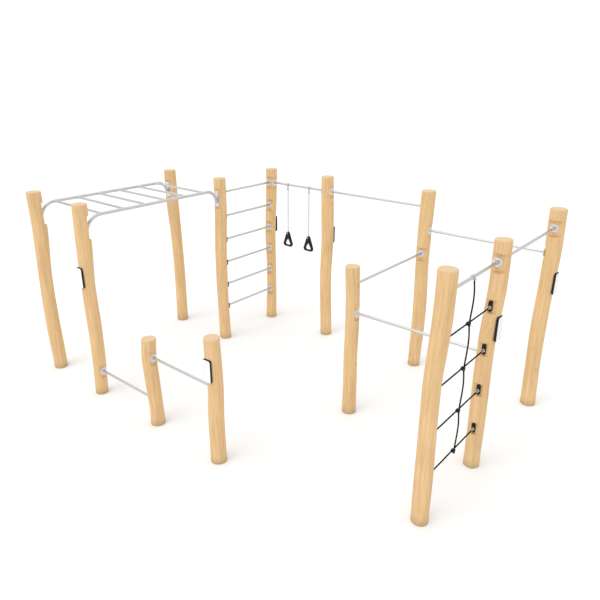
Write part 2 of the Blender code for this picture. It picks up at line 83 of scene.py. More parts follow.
# Sizes that the frame's boxes don't give
GAP = 0.0003
BAR_RADIUS = 0.017
PLATE_SIDE = 0.095
PLATE_THICKNESS = 0.008
PLATE_CORNER = 0.018
SOCKET_RADIUS = 0.026
SOCKET_LENGTH = 0.014
RAIL_RADIUS = 0.0225
RAIL_BENDS = (0.235, 0.190)
RAIL_PLATE = (0.09, 0.245)
PLATE_SCREWS = (0.032, 0.032)
RAIL_SCREWS = (0.031, 0.102)
WASHER_THICKNESS = 0.0012
RUNG_WELD = 0.0042
WELD_HEIGHT = 0.005
SIGN_CORNER = 0.022
SIGN_RIM = 0.007
SIGN_INSET = 0.0008
SIGN_SCREW = 0.022
ANCHOR_SIZE = (0.046, 0.125)
ANCHOR_THICKNESS = 0.016
ROPE_RADIUS = 0.008
ROPE_BULGE = 0.033
ROPE_STRAIGHT = 0.02
FLAT_HEIGHT = 0.185
HANGER_RADIUS = 0.028
SWIVEL_RADIUS = 0.0085
CHAIN_WIRE = 0.0028
CHAIN_WIDTH = 0.021
CHAIN_PITCH = 0.0262
SHACKLE_RISE = 0.044
SHACKLE_WIDTH = 0.045
HANDLE_BOLT_DROP = 0.034
TOP_CLAMP_RADIUS = 0.026

# Trunks are read from the frame by rays towards their middle.
RAYS = 40
RAY_REACH = 0.4
NEAR_CIRCLE = 0.0024
WIDEST_TRUNK = 0.125
IN_LINE = 1e-4
# The CAD trunk has fourteen sides, so its faces lie a little inside the round trunk.
ROUND_OVER_FLAT = 1.008
# Each post takes its own part of the noise.
NOISE_STEP = 3.7

# Angles in degrees past which an edge is sharp
SHARP_EDGE = 38
SHARP_WOOD = 30

UP = Vector((0, 0, 1))
AXES = (Vector((1, 0, 0)), Vector((0, 1, 0)), UP)


# -------- camera, light and floor


def put(name, data):
    made = bpy.data.objects.new(name, data)
    bpy.context.scene.collection.objects.link(made)
    return made


def make_camera():
    data = bpy.data.cameras.new("camera")
    data.sensor_width = SENSOR_WIDTH
    data.lens = CAMERA_LENS
    data.shift_x, data.shift_y = CAMERA_SHIFT
    data.clip_end = FAR_CLIP
    camera = put("camera", data)
    camera.location = CAMERA_PLACE
    camera.rotation_euler = (math.radians(90 - CAMERA_PITCH), 0, math.radians(CAMERA_YAW))
    bpy.context.scene.camera = camera


def add_sun(name, strength, angle, turn):
    sun = bpy.data.lights.new(name, "SUN")
    sun.energy = strength
    sun.angle = math.radians(angle)
    sun.color = SUN_COLOUR
    holder = put(name, sun)
    holder.rotation_euler = [math.radians(degrees) for degrees in turn]
    return holder


def make_light():
    world = bpy.data.worlds.new("studio")
    world.use_nodes = True
    background = world.node_tree.nodes["Background"]
    background.inputs["Color"].default_value = (1, 1, 1, 1)
    background.inputs["Strength"].default_value = SKY_STRENGTH
    bpy.context.scene.world = world
    add_sun("soft_sun", SUN_STRENGTH, SUN_ANGLE, SUN_TURN)
    # A second light from behind, seen in glossy reflections only, brightens the tubes' upper sides.
    glint = add_sun("glint", GLINT_STRENGTH, GLINT_ANGLE, GLINT_TURN)
    glint.visible_diffuse = False
    bpy.context.scene.view_settings.view_transform = "Standard"


# -------- shapes: (points, faces) pairs


def loft(rings, closed=False, capped=True):
    """A skin over rings of equally many points, with an end face at each end unless it is closed."""
    count, total = len(rings[0]), len(rings)
    points = [point for ring in rings for point in ring]
    faces = []
    for i in range(total if closed else total - 1):
        here, there = i * count, (i + 1) % total * count
        for j in range(count):
            k = (j + 1) % count
            faces.append((here + j, here + k, there + k, there + j))
    if capped and not closed:
        faces.append(tuple(reversed(range(count))))
        faces.append(tuple(range((total - 1) * count, total * count)))
    return points, faces


def circle(radius, sides, z=0.0):
    turns = [math.tau * step / sides for step in range(sides)]
    return [Vector((radius * math.cos(turn), radius * math.sin(turn), z)) for turn in turns]


def lathe(profile, sides=32):
    """A turned shape about Z. Its profile is (radius, height) pairs, from the bottom up."""
    return loft([circle(radius, sides, z) for radius, z in profile])


def edged(radius, low, high, edge, steps=3):
    """The profile of a cylinder whose two rims are rounded."""
    quarter = [math.pi / 2 * step / steps for step in range(steps + 1)]
    rim = [(radius - edge * (1 - math.sin(a)), edge * (1 - math.cos(a))) for a in quarter]
    return [(r, low + z) for r, z in rim] + [(r, high - z) for r, z in reversed(rim)]


def round_rectangle(width, height, corner, steps=5):
    """A rectangle's outline with round corners, as (x, y) pairs."""
    outline = []
    for quarter, (sign_x, sign_y) in enumerate(((1, 1), (-1, 1), (-1, -1), (1, -1))):
        for step in range(steps + 1):
            turn = math.pi / 2 * (quarter + step / steps)
            x = sign_x * (width / 2 - corner) + corner * math.cos(turn)
            outline.append((x, sign_y * (height / 2 - corner) + corner * math.sin(turn)))
    return outline


def slab(width, height, low, high, corner, edge=0.0015, steps=3):
    """A plate with round corners in X and Y, from low to high in Z, with rounded edges."""
    rings = []
    for inset, z in edged(0, low, high, edge, steps):
        outline = round_rectangle(width + 2 * inset, height + 2 * inset, corner + inset)
        rings.append([Vector((x, y, z)) for x, y in outline])
    return loft(rings)


def sweep(route, outline, closed=False):
    """A shape along a route. outline(distance) gives its section across the route, as (x, y) pairs."""
    rings, distance, across = [], 0.0, None
    last = len(route) - 1
    for i, point in enumerate(route):
        before = route[i - 1] if i or closed else point
        after = route[(i + 1) % len(route)] if i < last or closed else point
        along = (after - before).normalized()
        if across is None:
            across = along.orthogonal()
        across = (across - across.project(along)).normalized()
        beside = along.cross(across)
        if i:
            distance += (point - route[i - 1]).length
        rings.append([point + across * x + beside * y for x, y in outline(distance)])
    return loft(rings, closed)


def wire(radius, sides=10):
    section = [point.xy for point in circle(radius, sides)]
    return lambda distance: section


def placed(shape, place):
    points, faces = shape
    return [place @ point for point in points], faces


def facing(direction, position=(0, 0, 0)):
    """Local Z along a level direction and local Y upright, at a position."""
    side = UP.cross(direction)
    return Matrix.Translation(position) @ Matrix((side, UP, direction)).transposed().to_4x4()


def at(x, y, z):
    return Matrix.Translation((x, y, z))


def new_mesh(name, shape):
    mesh = bpy.data.meshes.new(name)
    mesh.from_pydata([tuple(point) for point in shape[0]], [], shape[1])
    return mesh


def piece(name, shapes, material, body="root", replaces=()):
    """One visible piece, made of shapes, on a body of the frame."""
    points, faces = [], []
    for shape_points, shape_faces in shapes:
        start = len(points)
        points += shape_points
        faces += [tuple(start + index for index in face) for face in shape_faces]
    mesh = new_mesh(name, (points, faces))
    mesh.update()
    mesh.shade_smooth()
    mesh.set_sharp_from_angle(angle=math.radians(SHARP_EDGE))
    mesh.materials.append(material)
    made = put(name, mesh)
    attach(made, body)
    if replaces:
        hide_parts(*replaces)
    return made


# -------- materials


class Paint:
    """A material whose nodes are added one at a time."""

    def __init__(self, name, metallic=0.0):
        self.material = bpy.data.materials.new(name)
        self.material.use_nodes = True
        self.tree = self.material.node_tree
        self.shader = self.tree.nodes["Principled BSDF"]
        self.shader.inputs["Metallic"].default_value = metallic

    def add(self, kind, output=0, settings=None, **inputs):
        """A new node. Its inputs are given by name or, as i0, i1 and so on, by number."""
        node = self.tree.nodes.new("ShaderNode" + kind)
        for key, value in (settings or {}).items():
            setattr(node, key, value)
        for key, value in inputs.items():
            number = key[1:]
            socket = node.inputs[int(number) if key[0] == "i" and number.isdigit() else key]
            self.feed(socket, value)
        return node.outputs[output]

    def feed(self, socket, value):
        if isinstance(value, bpy.types.NodeSocket):
            self.tree.links.new(value, socket)
        else:
            socket.default_value = value

    def set(self, name, value):
        self.feed(self.shader.inputs[name], value)

    def attribute(self, name, output=2):
        """A value that the mesh carries. Output 1 is a vector, and 2 a number."""
        return self.add("Attribute", output=output, settings={"attribute_name": name})

    def place(self):
        """Where a point lies in its piece's own space."""
        return self.add("TexCoord", output=3)

    def math(self, operation, first, second=0.0, third=0.0):
        return self.add("Math", settings={"operation": operation}, i0=first, i1=second, i2=third)

    def between(self, value, low, high, out_low=0.0, out_high=1.0):
        """value carried from low..high to out_low..out_high, and held there past the ends."""
        return self.add("MapRange", i0=value, i1=low, i2=high, i3=out_low, i4=out_high)

    def mix(self, share, first, second):
        """Two colours mixed. The Mix node takes them at 6 and 7 and gives one at 2."""
        settings = {"data_type": "RGBA"}
        return self.add("Mix", output=2, settings=settings, i0=share, i6=first, i7=second)

    def stretched(self, vector, amounts):
        return self.add("VectorMath", settings={"operation": "MULTIPLY"}, i0=vector, i1=amounts)

    def noise(self, vector, scale, detail=3.0, roughness=0.5):
        return self.add("TexNoise", Vector=vector, Scale=scale, Detail=detail, Roughness=roughness)

    def rough(self, value, low, high):
        self.set("Roughness", self.between(value, 0.3, 0.7, low, high))

    def bump(self, height, strength, distance):
        self.set("Normal", self.add("Bump", Height=height, Strength=strength, Distance=distance))


def rgb(red, green, blue):
    return (red, green, blue, 1.0)


# The wood's peeled side, its cuts and its marks, with painted shade at its foot and on its ledges
SIDE_DARK = rgb(0.565, 0.355, 0.168)
SIDE_LIGHT = rgb(0.795, 0.535, 0.270)
SIDE_PATCH = rgb(0.725, 0.505, 0.235)
FOOT_SHADE_COLOUR = rgb(0.38, 0.275, 0.150)
SAWN_WOOD = rgb(0.72, 0.54, 0.335)
SAWN_RING = rgb(0.63, 0.44, 0.245)
MILLED_WOOD = rgb(0.76, 0.52, 0.27)
MILLED_RING = rgb(0.63, 0.41, 0.195)
LEDGE_SHADE_COLOUR = rgb(0.36, 0.225, 0.100)
KNOT_COLOUR = rgb(0.36, 0.18, 0.07)
CRACK_COLOUR = rgb(0.42, 0.22, 0.09)
RING_WIDTH = 0.0052
RING_WANDER = 0.012


def robinia():
    """Peeled robinia: grain up the trunk, rings in the cuts, a few knots and drying cracks, and
    painted shade near the ground and on the ledges of its flats.
    """
    paint = Paint("robinia")
    grain = paint.attribute("grain", output=1)
    fine = paint.noise(paint.stretched(grain, (1, 1, 0.028)), 150, 4, 0.6)
    streaks = paint.noise(paint.stretched(grain, (1, 1, 0.06)), 36, 3, 0.55)
    patches = paint.noise(paint.stretched(grain, (1, 1, 0.35)), 5, 3)
    # Growth rings lie about the pith, which wanders a little.
    flat_grain = paint.stretched(grain, (1, 1, 0))
    pith = paint.add("VectorMath", output=1, settings={"operation": "LENGTH"}, i0=flat_grain)
    wander = paint.noise(paint.stretched(grain, (1, 1, 0.15)), 14, 2)
    ring_place = paint.math("MULTIPLY_ADD", wander, RING_WANDER, pith)
    ring_wave = paint.math("SINE", paint.math("MULTIPLY", ring_place, math.tau / RING_WIDTH))
    rings = paint.between(ring_wave, -1, 1)
    # The peeled side is one surface of the wood, with streaks and patches but no rings.
    tone = paint.math("MULTIPLY_ADD", streaks, 0.55, paint.math("MULTIPLY", fine, 0.45))
    side = paint.mix(paint.between(tone, 0.36, 0.64), SIDE_DARK, SIDE_LIGHT)
    side = paint.mix(paint.between(patches, 0.35, 0.7, 0, 0.45), side, SIDE_PATCH)
    # Near the ground the skin is painted darker: painted shade where the trunk meets the ground.
    foot = paint.attribute("foot")
    side = paint.mix(paint.math("MULTIPLY", foot, 0.8), side, FOOT_SHADE_COLOUR)
    # A saw-cut top is paler, with its rings showing.
    sawn = paint.attribute("sawn")
    top = paint.mix(paint.math("MULTIPLY", rings, 0.55), SAWN_WOOD, SAWN_RING)
    colour = paint.mix(sawn, side, top)
    # A milled flat cuts through the rings.
    milled = paint.attribute("milled")
    flat = paint.mix(paint.math("MULTIPLY", rings, 0.5), MILLED_WOOD, MILLED_RING)
    colour = paint.mix(paint.math("MULTIPLY", milled, 0.75), colour, flat)
    # The ledges of a flat are painted dark: painted shade in the notch, darker under its overhang.
    colour = paint.mix(paint.attribute("ledge_shade"), colour, LEDGE_SHADE_COLOUR)
    cells = paint.stretched(grain, (4.2, 4.2, 2.0))
    knots = paint.add("TexVoronoi", Vector=cells, Scale=1.0, Randomness=1.0)
    knot = paint.between(knots, 0.035, 0.085, 1, 0)
    colour = paint.mix(paint.math("MULTIPLY", knot, 0.55), colour, KNOT_COLOUR)
    cracks = paint.noise(paint.stretched(grain, (1, 1, 0.03)), 22, 2, 0.4)
    off_middle = paint.math("ABSOLUTE", paint.math("SUBTRACT", cracks, 0.5))
    crack = paint.between(off_middle, 0.0015, 0.006, 1, 0)
    crack = paint.math("MULTIPLY", crack, paint.between(patches, 0.54, 0.60))
    colour = paint.mix(paint.math("MULTIPLY", crack, 0.45), colour, CRACK_COLOUR)
    paint.set("Base Color", colour)
    paint.rough(fine, 0.62, 0.80)
    relief = paint.math("MULTIPLY_ADD", streaks, 0.8, fine)
    paint.bump(paint.math("SUBTRACT", relief, crack), 0.30, 0.0012)
    return paint.material


def steel(name, colour, low, high, scale=45.0):
    """Stainless steel with a satin finish: cloudy roughness and fine rubbing marks."""
    paint = Paint(name, metallic=1.0)
    place = paint.place()
    clouds = paint.noise(place, scale, 4, 0.6)
    marks = paint.noise(place, 900.0, 2)
    darker = rgb(*(0.90 * channel for channel in colour))
    paint.set("Base Color", paint.mix(clouds, darker, rgb(*colour)))
    paint.rough(clouds, low, high)
    paint.bump(marks, 0.12, 0.0002)
    return paint.material


def plastic(name, colour, low, high, grain_scale, strength):
    """Moulded plastic or powder coat: an even colour with a fine pebbled surface."""
    paint = Paint(name)
    place = paint.place()
    clouds = paint.noise(place, 18.0, 3)
    pebbles = paint.noise(place, grain_scale, 2, 0.5)
    lighter = rgb(*(1.25 * channel for channel in colour))
    paint.set("Base Color", paint.mix(clouds, rgb(*colour), lighter))
    paint.rough(clouds, low, high)
    paint.bump(pebbles, strength, 0.0003)
    paint.shader.inputs["Specular IOR Level"].default_value = 0.25
    return paint.material


def rope():
    """Black polyamide rope: dull fibres, and a little dust here and there."""
    paint = Paint("rope")
    place = paint.place()
    fibres = paint.noise(place, 700.0, 3, 0.6)
    dust = paint.between(paint.noise(place, 12.0, 3), 0.4, 0.75)
    paint.set("Base Color", paint.mix(dust, rgb(0.003, 0.003, 0.003), rgb(0.008, 0.008, 0.007)))
    paint.rough(fibres, 0.70, 0.92)
    paint.bump(fibres, 0.35, 0.0006)
    paint.shader.inputs["Specular IOR Level"].default_value = 0.1
    return paint.material


def board_face():
    """The white printed face of a sign, slightly glossy."""
    paint = Paint("board_face")
    place = paint.place()
    clouds = paint.noise(place, 9.0, 3)
    paint.set("Base Color", paint.mix(clouds, rgb(0.84, 0.845, 0.86), rgb(0.90, 0.90, 0.91)))
    paint.rough(clouds, 0.22, 0.34)
    paint.bump(paint.noise(place, 260.0, 2), 0.05, 0.0002)
    return paint.material


def ground():
    paint = Paint("ground")
    place = paint.place()
    speckle = paint.noise(place, 3.0, 4)
    paint.set("Base Color", paint.mix(speckle, rgb(0.894, 0.896, 0.900), rgb(0.900, 0.902, 0.906)))
    paint.set("Roughness", paint.between(speckle, 0.0, 1.0, 0.9, 1.0))
    return paint.material


def make_floor():
    """A wide, pale ground that the posts stand on. It dips at its far rim."""
    rings = []
    for step in range(FLOOR_RINGS):
        dip = FLOOR_RIM_DIP if step == FLOOR_RINGS - 1 else 0
        rings.append(circle(FLOOR_FIRST * FLOOR_GROWTH**step, FLOOR_SIDES, -FLOOR_CLEAR - dip))
    points, faces = loft(rings, capped=False)
    faces.append(tuple(range(FLOOR_SIDES)))
    mesh = new_mesh("floor", (points, faces))
    mesh.materials.append(ground())
    floor = put("floor", mesh)


# -------- what the frame says

NODES = frame["nodes"]


def named(*starts):
    return sorted(name for name in NODES if name.startswith(starts))


POSTS = named("post_")
BARS = named("bar_", "wall_rung_")
RAILS = named("overhead_rail_")
RUNGS = named("overhead_rung_")
SIGNS = named("sign_")
LEVEL_ROPES = [name for name in named("net_rope_") if name[-1].isdigit()]


def middle_of(node):
    low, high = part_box(node)
    return (low + high) / 2


def long_axis(node):
    """The axis that a node is longest along, its middle, and half its length."""
    low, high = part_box(node)
    size = high - low
    number = max(range(3), key=lambda i: size[i])
    return AXES[number], (low + high) / 2, size[number] / 2


def fit_circle(points):
    """The centre and radius of the circle nearest to (x, y) points."""
    rows = np.column_stack([2 * points, np.ones(len(points))])
    x, y, rest = np.linalg.lstsq(rows, (points**2).sum(1), rcond=None)[0]
    return np.array((x, y)), math.sqrt(rest + x * x + y * y)


def best_circle(points):
    """The circle that passes near the most points, of those through any three of them."""
    picks = np.array(list(combinations(range(len(points)), 3)))
    a, b, c = points[picks[:, 0]], points[picks[:, 1]], points[picks[:, 2]]
    ab, ac = b - a, c - a
    cross = ab[:, 0] * ac[:, 1] - ab[:, 1] * ac[:, 0]
    usable = abs(cross) > IN_LINE
    a, ab, ac, cross = a[usable], ab[usable], ac[usable], 2 * cross[usable]
    square_b, square_c = (ab**2).sum(1), (ac**2).sum(1)
    x = (ac[:, 1] * square_b - ab[:, 1] * square_c) / cross
    y = (ab[:, 0] * square_c - ac[:, 0] * square_b) / cross
    centres, radii = a + np.column_stack([x, y]), np.hypot(x, y)
    off = abs(np.linalg.norm(points[None] - centres[:, None], axis=2) - radii[:, None])
    # A circle wider than any trunk loses to every other.
    near = (off < NEAR_CIRCLE).sum(1) - 100 * (radii > WIDEST_TRUNK)
    best = near.argmax()
    return centres[best], radii[best]


def section(tree, middle, height):
    """A trunk's centre and radius at a height. Milled flats are left out of the fit."""
    points = []
    for step in range(RAYS):
        turn = math.tau * (step + 0.3) / RAYS
        way = Vector((math.cos(turn), math.sin(turn), 0))
        start = Vector((middle.x, middle.y, height)) + way * RAY_REACH
        hit = tree.ray_cast(start, -way, RAY_REACH)[0]
        if hit is not None:
            points.append(hit.xy)
    points = np.array(points)
    centre, radius = best_circle(points)
    for _ in range(4):
        kept = points[abs(np.linalg.norm(points - centre, axis=1) - radius) < NEAR_CIRCLE]
        centre, radius = fit_circle(kept)
    return Vector((*centre, height)), radius * ROUND_OVER_FLAT


def smooth(values, place):
    """A smooth curve through evenly spaced vectors or numbers, read at a place."""
    last = len(values) - 1
    index = min(int(place), last - 1)
    t = place - index
    before, start, end, after = (values[min(max(index + step, 0), last)] for step in (-1, 0, 1, 2))
    cubic = 3 * (start - end) + after - before
    square = 2 * before - 5 * start + 4 * end - after + t * cubic
    return start + 0.5 * t * (end - before + t * square)


class Trunk:
    """A post's line: its centre and radius at any height, read from the frame."""

    levels = 10
    margin = 0.032

    def __init__(self, name):
        self.name = name
        low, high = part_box(name)
        self.bottom, self.top = low.z, high.z
        mesh = NODES[name].data
        faces = [tuple(face.vertices) for face in mesh.polygons]
        tree = BVHTree.FromPolygons([vertex.co for vertex in mesh.vertices], faces)
        middle = (low + high) / 2
        self.centres, self.radii = [], []
        for level in range(self.levels + 1):
            height = self.bottom + (self.top - self.bottom) * level / self.levels
            height = min(max(height, self.bottom + self.margin), self.top - self.margin)
            centre, radius = section(tree, middle, height)
            self.centres.append(centre)
            self.radii.append(radius)
        self.offset = NOISE_STEP * POSTS.index(name)

    def __call__(self, height):
        place = (height - self.bottom) / (self.top - self.bottom) * self.levels
        place = min(max(place, 0), self.levels)
        centre = smooth(self.centres, place)
        return Vector((centre.x, centre.y, height)), smooth(self.radii, place)


TRUNKS = {name: Trunk(name) for name in POSTS}


def nearest_post(point):
    def distance(name):
        low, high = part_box(name)
        if not low.z <= point.z <= high.z:
            return math.inf
        return (TRUNKS[name](point.z)[0] - point).length

    return min(POSTS, key=distance)


# -------- posts

TRUNK_SIDES = 56
RING_STEP = 0.026
TOP_EDGE = 0.013
FOOT_EDGE = 0.006
CUTTER_REACH = 0.13
CUTTER_HALF = 0.15
CUTTER_SLOPE = 0.03
# A trunk's unevenness, coarse to fine: its height, and how often it comes around and up the trunk
BROAD = (0.0030, 0.9, 1.6)
FLUTES = (0.0022, 2.6, 0.9)
SKIN = (0.0006, 7.0, 6.0)
# Where the wood changes colour, how high the painted shade at its foot reaches, and how dark the
# painted shade on its ledges is
MILLED_DEPTH = 0.0045
FOOT_SHADE_HEIGHT = 0.16
SAWN_EDGE = 0.004
LEDGE_STEEP = 0.6
END_CLEAR = 0.1
UNDER_LEDGE_SHADE = 0.55
OVER_LEDGE_SHADE = 0.25


def seats():
    """Every flat that something is fixed to: (post, its middle, the way it faces, how tall it is)."""
    found = []
    for node in BARS + RAILS:
        axis, middle, half = long_axis(node)
        tall = FLAT_HEIGHT
        if node in RAILS:
            middle.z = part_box(node)[0].z + RAIL_PLATE[1] / 2
            tall = RAIL_PLATE[1] + 0.06
        for way in (-1, 1):
            found.append((middle + axis * way * (half + GAP), -way * axis, tall))
    for node in SIGNS:
        low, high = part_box(node)
        side = sign_side(node)
        thin = abs((high - low).dot(side))
        found.append(((low + high) / 2 - side * (thin / 2 + GAP), side, high.z - low.z + 0.01))
    for node in LEVEL_ROPES:
        axis, middle, half = long_axis(node)
        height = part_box(node)[1].z - ANCHOR_SIZE[1] / 2
        for way in (-1, 1):
            end = Vector((middle.x, middle.y, height)) + axis * way * (half + GAP)
            found.append((end, -way * axis, ANCHOR_SIZE[1] + 0.02))
    return [(nearest_post(point), point, side, tall) for point, side, tall in found]


def sign_side(node):
    """The way that a sign faces: away from its post."""
    low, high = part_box(node)
    size = high - low
    axis = AXES[0] if size.x < size.y else AXES[1]
    middle = middle_of(node)
    away = middle - TRUNKS[nearest_post(middle)](middle.z)[0]
    return axis if away.dot(axis) > 0 else -axis


def trunk_surface(trunk, turn, height):
    """How far the peeled surface stands off the trunk's plain circle."""
    around = Vector((math.cos(turn), math.sin(turn), 0))
    broad = noise.noise(around * BROAD[1] + Vector((trunk.offset, 0, height * BROAD[2])))
    flutes = noise.noise(around * FLUTES[1] + Vector((0, trunk.offset, height * FLUTES[2])))
    skin = noise.noise(around * SKIN[1] + Vector((trunk.offset, 5.0, height * SKIN[2])))
    return BROAD[0] * broad + FLUTES[0] * flutes + SKIN[0] * skin


def trunk_shape(trunk):
    heights = [trunk.bottom, trunk.bottom + FOOT_EDGE]
    count = round((trunk.top - trunk.bottom - FOOT_EDGE - TOP_EDGE) / RING_STEP)
    span = trunk.top - TOP_EDGE - heights[1]
    heights += [heights[1] + span * step / count for step in range(1, count + 1)]
    insets = [FOOT_EDGE * 0.7] + [0.0] * (len(heights) - 1)
    for step in range(1, 5):
        turn = math.pi / 2 * step / 4
        heights.append(trunk.top - TOP_EDGE * (1 - math.sin(turn)))
        insets.append(TOP_EDGE * (1 - math.cos(turn)))
    rings = []
    for height, inset in zip(heights, insets):
        centre, radius = trunk(height)
        ring = []
        for step in range(TRUNK_SIDES):
            turn = math.tau * step / TRUNK_SIDES
            reach = radius + trunk_surface(trunk, turn, height) - inset
            ring.append(centre + reach * Vector((math.cos(turn), math.sin(turn), 0)))
        rings.append(ring)
    # The saw-cut top has rings of its own, and is not quite flat.
    centre = trunk(trunk.top)[0]
    for share in (0.8, 0.55, 0.3, 0.1):
        ring = [centre + (point - centre) * share for point in rings[len(heights) - 1]]
        for point in ring:
            point.z = trunk.top - 0.0012 * (1 + noise.noise(point * 14))
        rings.append(ring)
    return loft(rings)


def flat_cutter(point, side, tall):
    """A block that mills a flat. Its ledges slope out a little."""
    rings = []
    for reach, more in ((0, 0), (CUTTER_REACH, CUTTER_SLOPE)):
        x, y = CUTTER_HALF, tall / 2 + more
        rings.append([Vector((i * x, j * y, reach)) for i, j in ((-1, -1), (1, -1), (1, 1), (-1, 1))])
    return placed(loft(rings), facing(side, point))


def milled(name, shape, cutters):
    """A post's mesh with its flats cut."""
    post = put("work_post", new_mesh("work_post", shape))
    tools = []
    for cutter in cutters:
        tool = put("work_cutter", new_mesh("work_cutter", cutter))
        cut = post.modifiers.new("cut", "BOOLEAN")
        cut.operation, cut.solver, cut.object = "DIFFERENCE", "EXACT", tool
        tools.append(tool)
    graph = bpy.context.evaluated_depsgraph_get()
    mesh = bpy.data.meshes.new_from_object(post.evaluated_get(graph))
    mesh.name = name
    for done in [post, *tools]:
        bpy.data.objects.remove(done, do_unlink=True)
    return mesh


def mark_wood(mesh, trunk):
    """Where each point lies in the trunk, for the grain; how far it is cut or sawn; and how much
    painted shade it takes near the ground and on the ledges of its flats.
    """
    grain, cut, foot, sawn = [], [], [], []
    for vertex in mesh.vertices:
        centre, radius = trunk(vertex.co.z)
        from_pith = vertex.co - centre
        grain += (from_pith.x, from_pith.y, vertex.co.z + 2.9 * trunk.offset)
        deep = from_pith.length < radius - MILLED_DEPTH and vertex.co.z < trunk.top - TOP_EDGE
        cut.append(1.0 if deep else 0.0)
        foot.append(max(0.0, 1 - (vertex.co.z - trunk.bottom) / FOOT_SHADE_HEIGHT) ** 2)
        sawn.append(1.0 if vertex.co.z > trunk.top - SAWN_EDGE else 0.0)
    # Painted shade on the ledges: faces that look down, under the overhang, are darkened more than
    # faces that look up.
    ledge_shade = []
    for face in mesh.polygons:
        inside = trunk.bottom + END_CLEAR < face.center.z < trunk.top - END_CLEAR
        shade = UNDER_LEDGE_SHADE if face.normal.z < 0 else OVER_LEDGE_SHADE
        ledge_shade.append(shade if inside and abs(face.normal.z) > LEDGE_STEEP else 0.0)
    mesh.attributes.new("grain", "FLOAT_VECTOR", "POINT").data.foreach_set("vector", grain)
    for name, values in (("milled", cut), ("foot", foot), ("sawn", sawn)):
        mesh.attributes.new(name, "FLOAT", "POINT").data.foreach_set("value", values)
    mesh.attributes.new("ledge_shade", "FLOAT", "FACE").data.foreach_set("value", ledge_shade)


def make_posts(wood):
    flats = seats()
    for name, trunk in TRUNKS.items():
        cutters = [flat_cutter(point, side, tall) for post, point, side, tall in flats if post == name]
        mesh = milled(name + "_trunk", trunk_shape(trunk), cutters)
        mark_wood(mesh, trunk)
        mesh.shade_smooth()
        mesh.set_sharp_from_angle(angle=math.radians(SHARP_WOOD))
        mesh.materials.clear()
        mesh.materials.append(wood)
        post = put(name + "_trunk", mesh)
        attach(post, "root")
        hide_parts(name)


# -------- steel bars, plates and screws


def screw(radius=0.0075, height=0.0042):
    """A button-head screw with a socket, standing on Z = 0."""
    dome = [(radius * math.cos(a), height * math.sin(a)) for a in (0, 0.35, 0.7, 1.0, 1.2)]
    recess = [(radius * 0.34, height * 0.93), (radius * 0.32, height * 0.35)]
    return lathe([(radius, -0.0008)] + dome + recess, 16)


def washer():
    return lathe(edged(0.0105, 0, WASHER_THICKNESS, 0.0004, 2), 20)


def bar_profile(half):
    """Half of a bar, from its plate to its middle: socket, weld, tube."""
    foot = half - PLATE_THICKNESS + 0.001
    lip = half - PLATE_THICKNESS - SOCKET_LENGTH
    socket = [(0.003, foot - 0.001), (0.001, foot - 0.003), (0, foot - 0.005)]
    socket += [(0, lip + 0.002), (-0.0007, lip + 0.0006), (-0.002, lip)]
    tube = [(0.003, lip), (0.0024, lip + 0.001), (0.0006, lip + 0.001)]
    tube += [(0, lip - 0.0005), (0, lip - 0.01)]
    profile = [(SOCKET_RADIUS + more, z) for more, z in socket]
    return profile + [(BAR_RADIUS + more, z) for more, z in tube]


def rung_profile(half):
    """Half of a rung, from its end to its middle: the fillet of its weld, then the tube."""
    outer = BAR_RADIUS + RUNG_WELD
    profile = [(outer, half)]
    for share in (0.75, 0.45, 0.2, 0):
        fall = WELD_HEIGHT * (1 - share) ** 1.6
        profile.append((BAR_RADIUS + (outer - BAR_RADIUS) * share, half - fall))
    return profile + [(BAR_RADIUS, half - 0.02)]


def mirrored_lathe(half_profile, sides=36):
    """A turned shape, alike at both ends. half_profile runs from the end at +Z to the middle."""
    lower = [(radius, -z) for radius, z in half_profile]
    return lathe(lower + [(radius, z) for radius, z in reversed(half_profile)], sides)


def plate_screws(spread_x, spread_y, z, way):
    """Screws at a plate's corners. way is 1 where they look along +Z, and -1 along -Z."""
    turn = Matrix.Identity(4) if way > 0 else Matrix.Rotation(math.pi, 4, "X")
    shapes = []
    for x in (-spread_x, spread_x):
        for y in (-spread_y, spread_y):
            place = at(x, y, z) @ turn
            shapes.append(placed(washer(), place))
            shapes.append(placed(screw(), place @ at(0, 0, WASHER_THICKNESS)))
    return shapes


def make_bars(metal, plate_metal, black, bright):
    for node in BARS:
        axis, middle, half = long_axis(node)
        place = facing(axis, middle)
        inner = half - PLATE_THICKNESS
        plates, screws = [], []
        for way in (-1, 1):
            low, high = sorted((way * half, way * inner))
            plates.append(slab(PLATE_SIDE, PLATE_SIDE, low, high, PLATE_CORNER))
            screws += plate_screws(*PLATE_SCREWS, way * inner, -way)
        tube = placed(mirrored_lathe(bar_profile(half)), place)
        piece(node + "_tube", [tube], metal, replaces=[node])
        plates = [placed(s, place) for s in plates]
        if node.startswith("wall_rung_"):
            # The plate at each wall-ladder rung's first end is painted black: painted shade, for the
            # back of that plate lying in shadow.
            piece(node + "_painted_shade_plate", [plates.pop(0)], black)
        piece(node + "_plates", plates, plate_metal)
        piece(node + "_screws", [placed(s, place) for s in screws], bright)


# -------- overhead ladder


def rail_end(x, y, way, top, bend):
    """One end of a rail's centre line, from its tail up to the level part."""
    steps, low = 14, top - bend
    points = [Vector((x, y, low - 0.012)), Vector((x, y, low - 0.006))]
    for step in range(steps + 1):
        turn = math.pi / 2 * step / steps
        points.append(Vector((x, y + way * bend * (1 - math.cos(turn)), low + bend * math.sin(turn))))
    return points


def rail_route(x, start_y, end_y, top):
    """The rail's centre line: up from one plate, level, and down to the other."""
    near = rail_end(x, start_y, 1, top, RAIL_BENDS[0])
    far = rail_end(x, end_y, -1, top, RAIL_BENDS[1])[::-1]
    spans = [near[-1].lerp(far[0], share) for share in (0.25, 0.5, 0.75)]
    return near + spans + far


def seam_bead(distance):
    """A weld bead's section, which ripples as it goes."""
    return [point.xy for point in circle(0.0042 + 0.0005 * math.sin(distance * 900), 10)]


